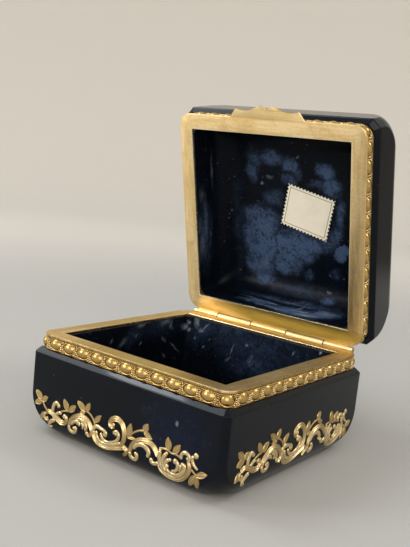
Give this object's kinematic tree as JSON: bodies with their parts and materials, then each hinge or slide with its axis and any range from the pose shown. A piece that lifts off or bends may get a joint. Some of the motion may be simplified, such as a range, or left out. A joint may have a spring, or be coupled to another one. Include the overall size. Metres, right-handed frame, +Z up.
{
  "type": "hinged glass casket",
  "caption": "Square black glass casket with gilt rims, stamped bead galleries, raised gilt scroll garlands and a full-width rear hinge that holds the lid open.",
  "frame": {"origin": "centre of the flat underside of the base", "axes": "+Z up, -Y towards the front with the thumbpiece, +Y towards the hinge, +X to the right seen from the front"},
  "size_m": [0.1174, 0.15, 0.1666],
  "materials": {
    "black_glass": "polished opaque black glass, navy by strong light",
    "gilt_plate": "brushed gilt brass",
    "gilt_gallery": "stamped gilt brass with dark ground",
    "raised_gilding": "raised pale gold, burnished on the ridges",
    "pin_brass": "drawn wire",
    "cement": "set plaster",
    "label_paper": "aged uncoated paper"
  },
  "bodies": {
    "base": {"base_glass": "black_glass", "base_cement": "cement", "base_rim_plate": "gilt_plate", "base_gallery": "gilt_gallery", "base_knuckle_left": "gilt_plate", "base_knuckle_right": "gilt_plate", "hinge_pin": "pin_brass", "front_scrollwork": "raised_gilding", "right_scrollwork": "raised_gilding", "back_scrollwork": "raised_gilding", "left_scrollwork": "raised_gilding"},
    "lid": {"lid_glass": "black_glass", "lid_cement": "cement", "lid_rim_plate": "gilt_plate", "lid_gallery": "gilt_gallery", "lid_knuckle_left": "gilt_plate", "lid_knuckle_centre": "gilt_plate", "lid_knuckle_right": "gilt_plate", "thumbpiece": "gilt_plate", "paper_label": "label_paper"}
  },
  "joints": [
    {"name": "lid_hinge", "type": "hinge", "parent": "base", "child": "lid", "pos_m": [0, 0.05826, 0.048], "axis": [1, 0, 0], "range_deg": [0, 76.5]}
  ]
}
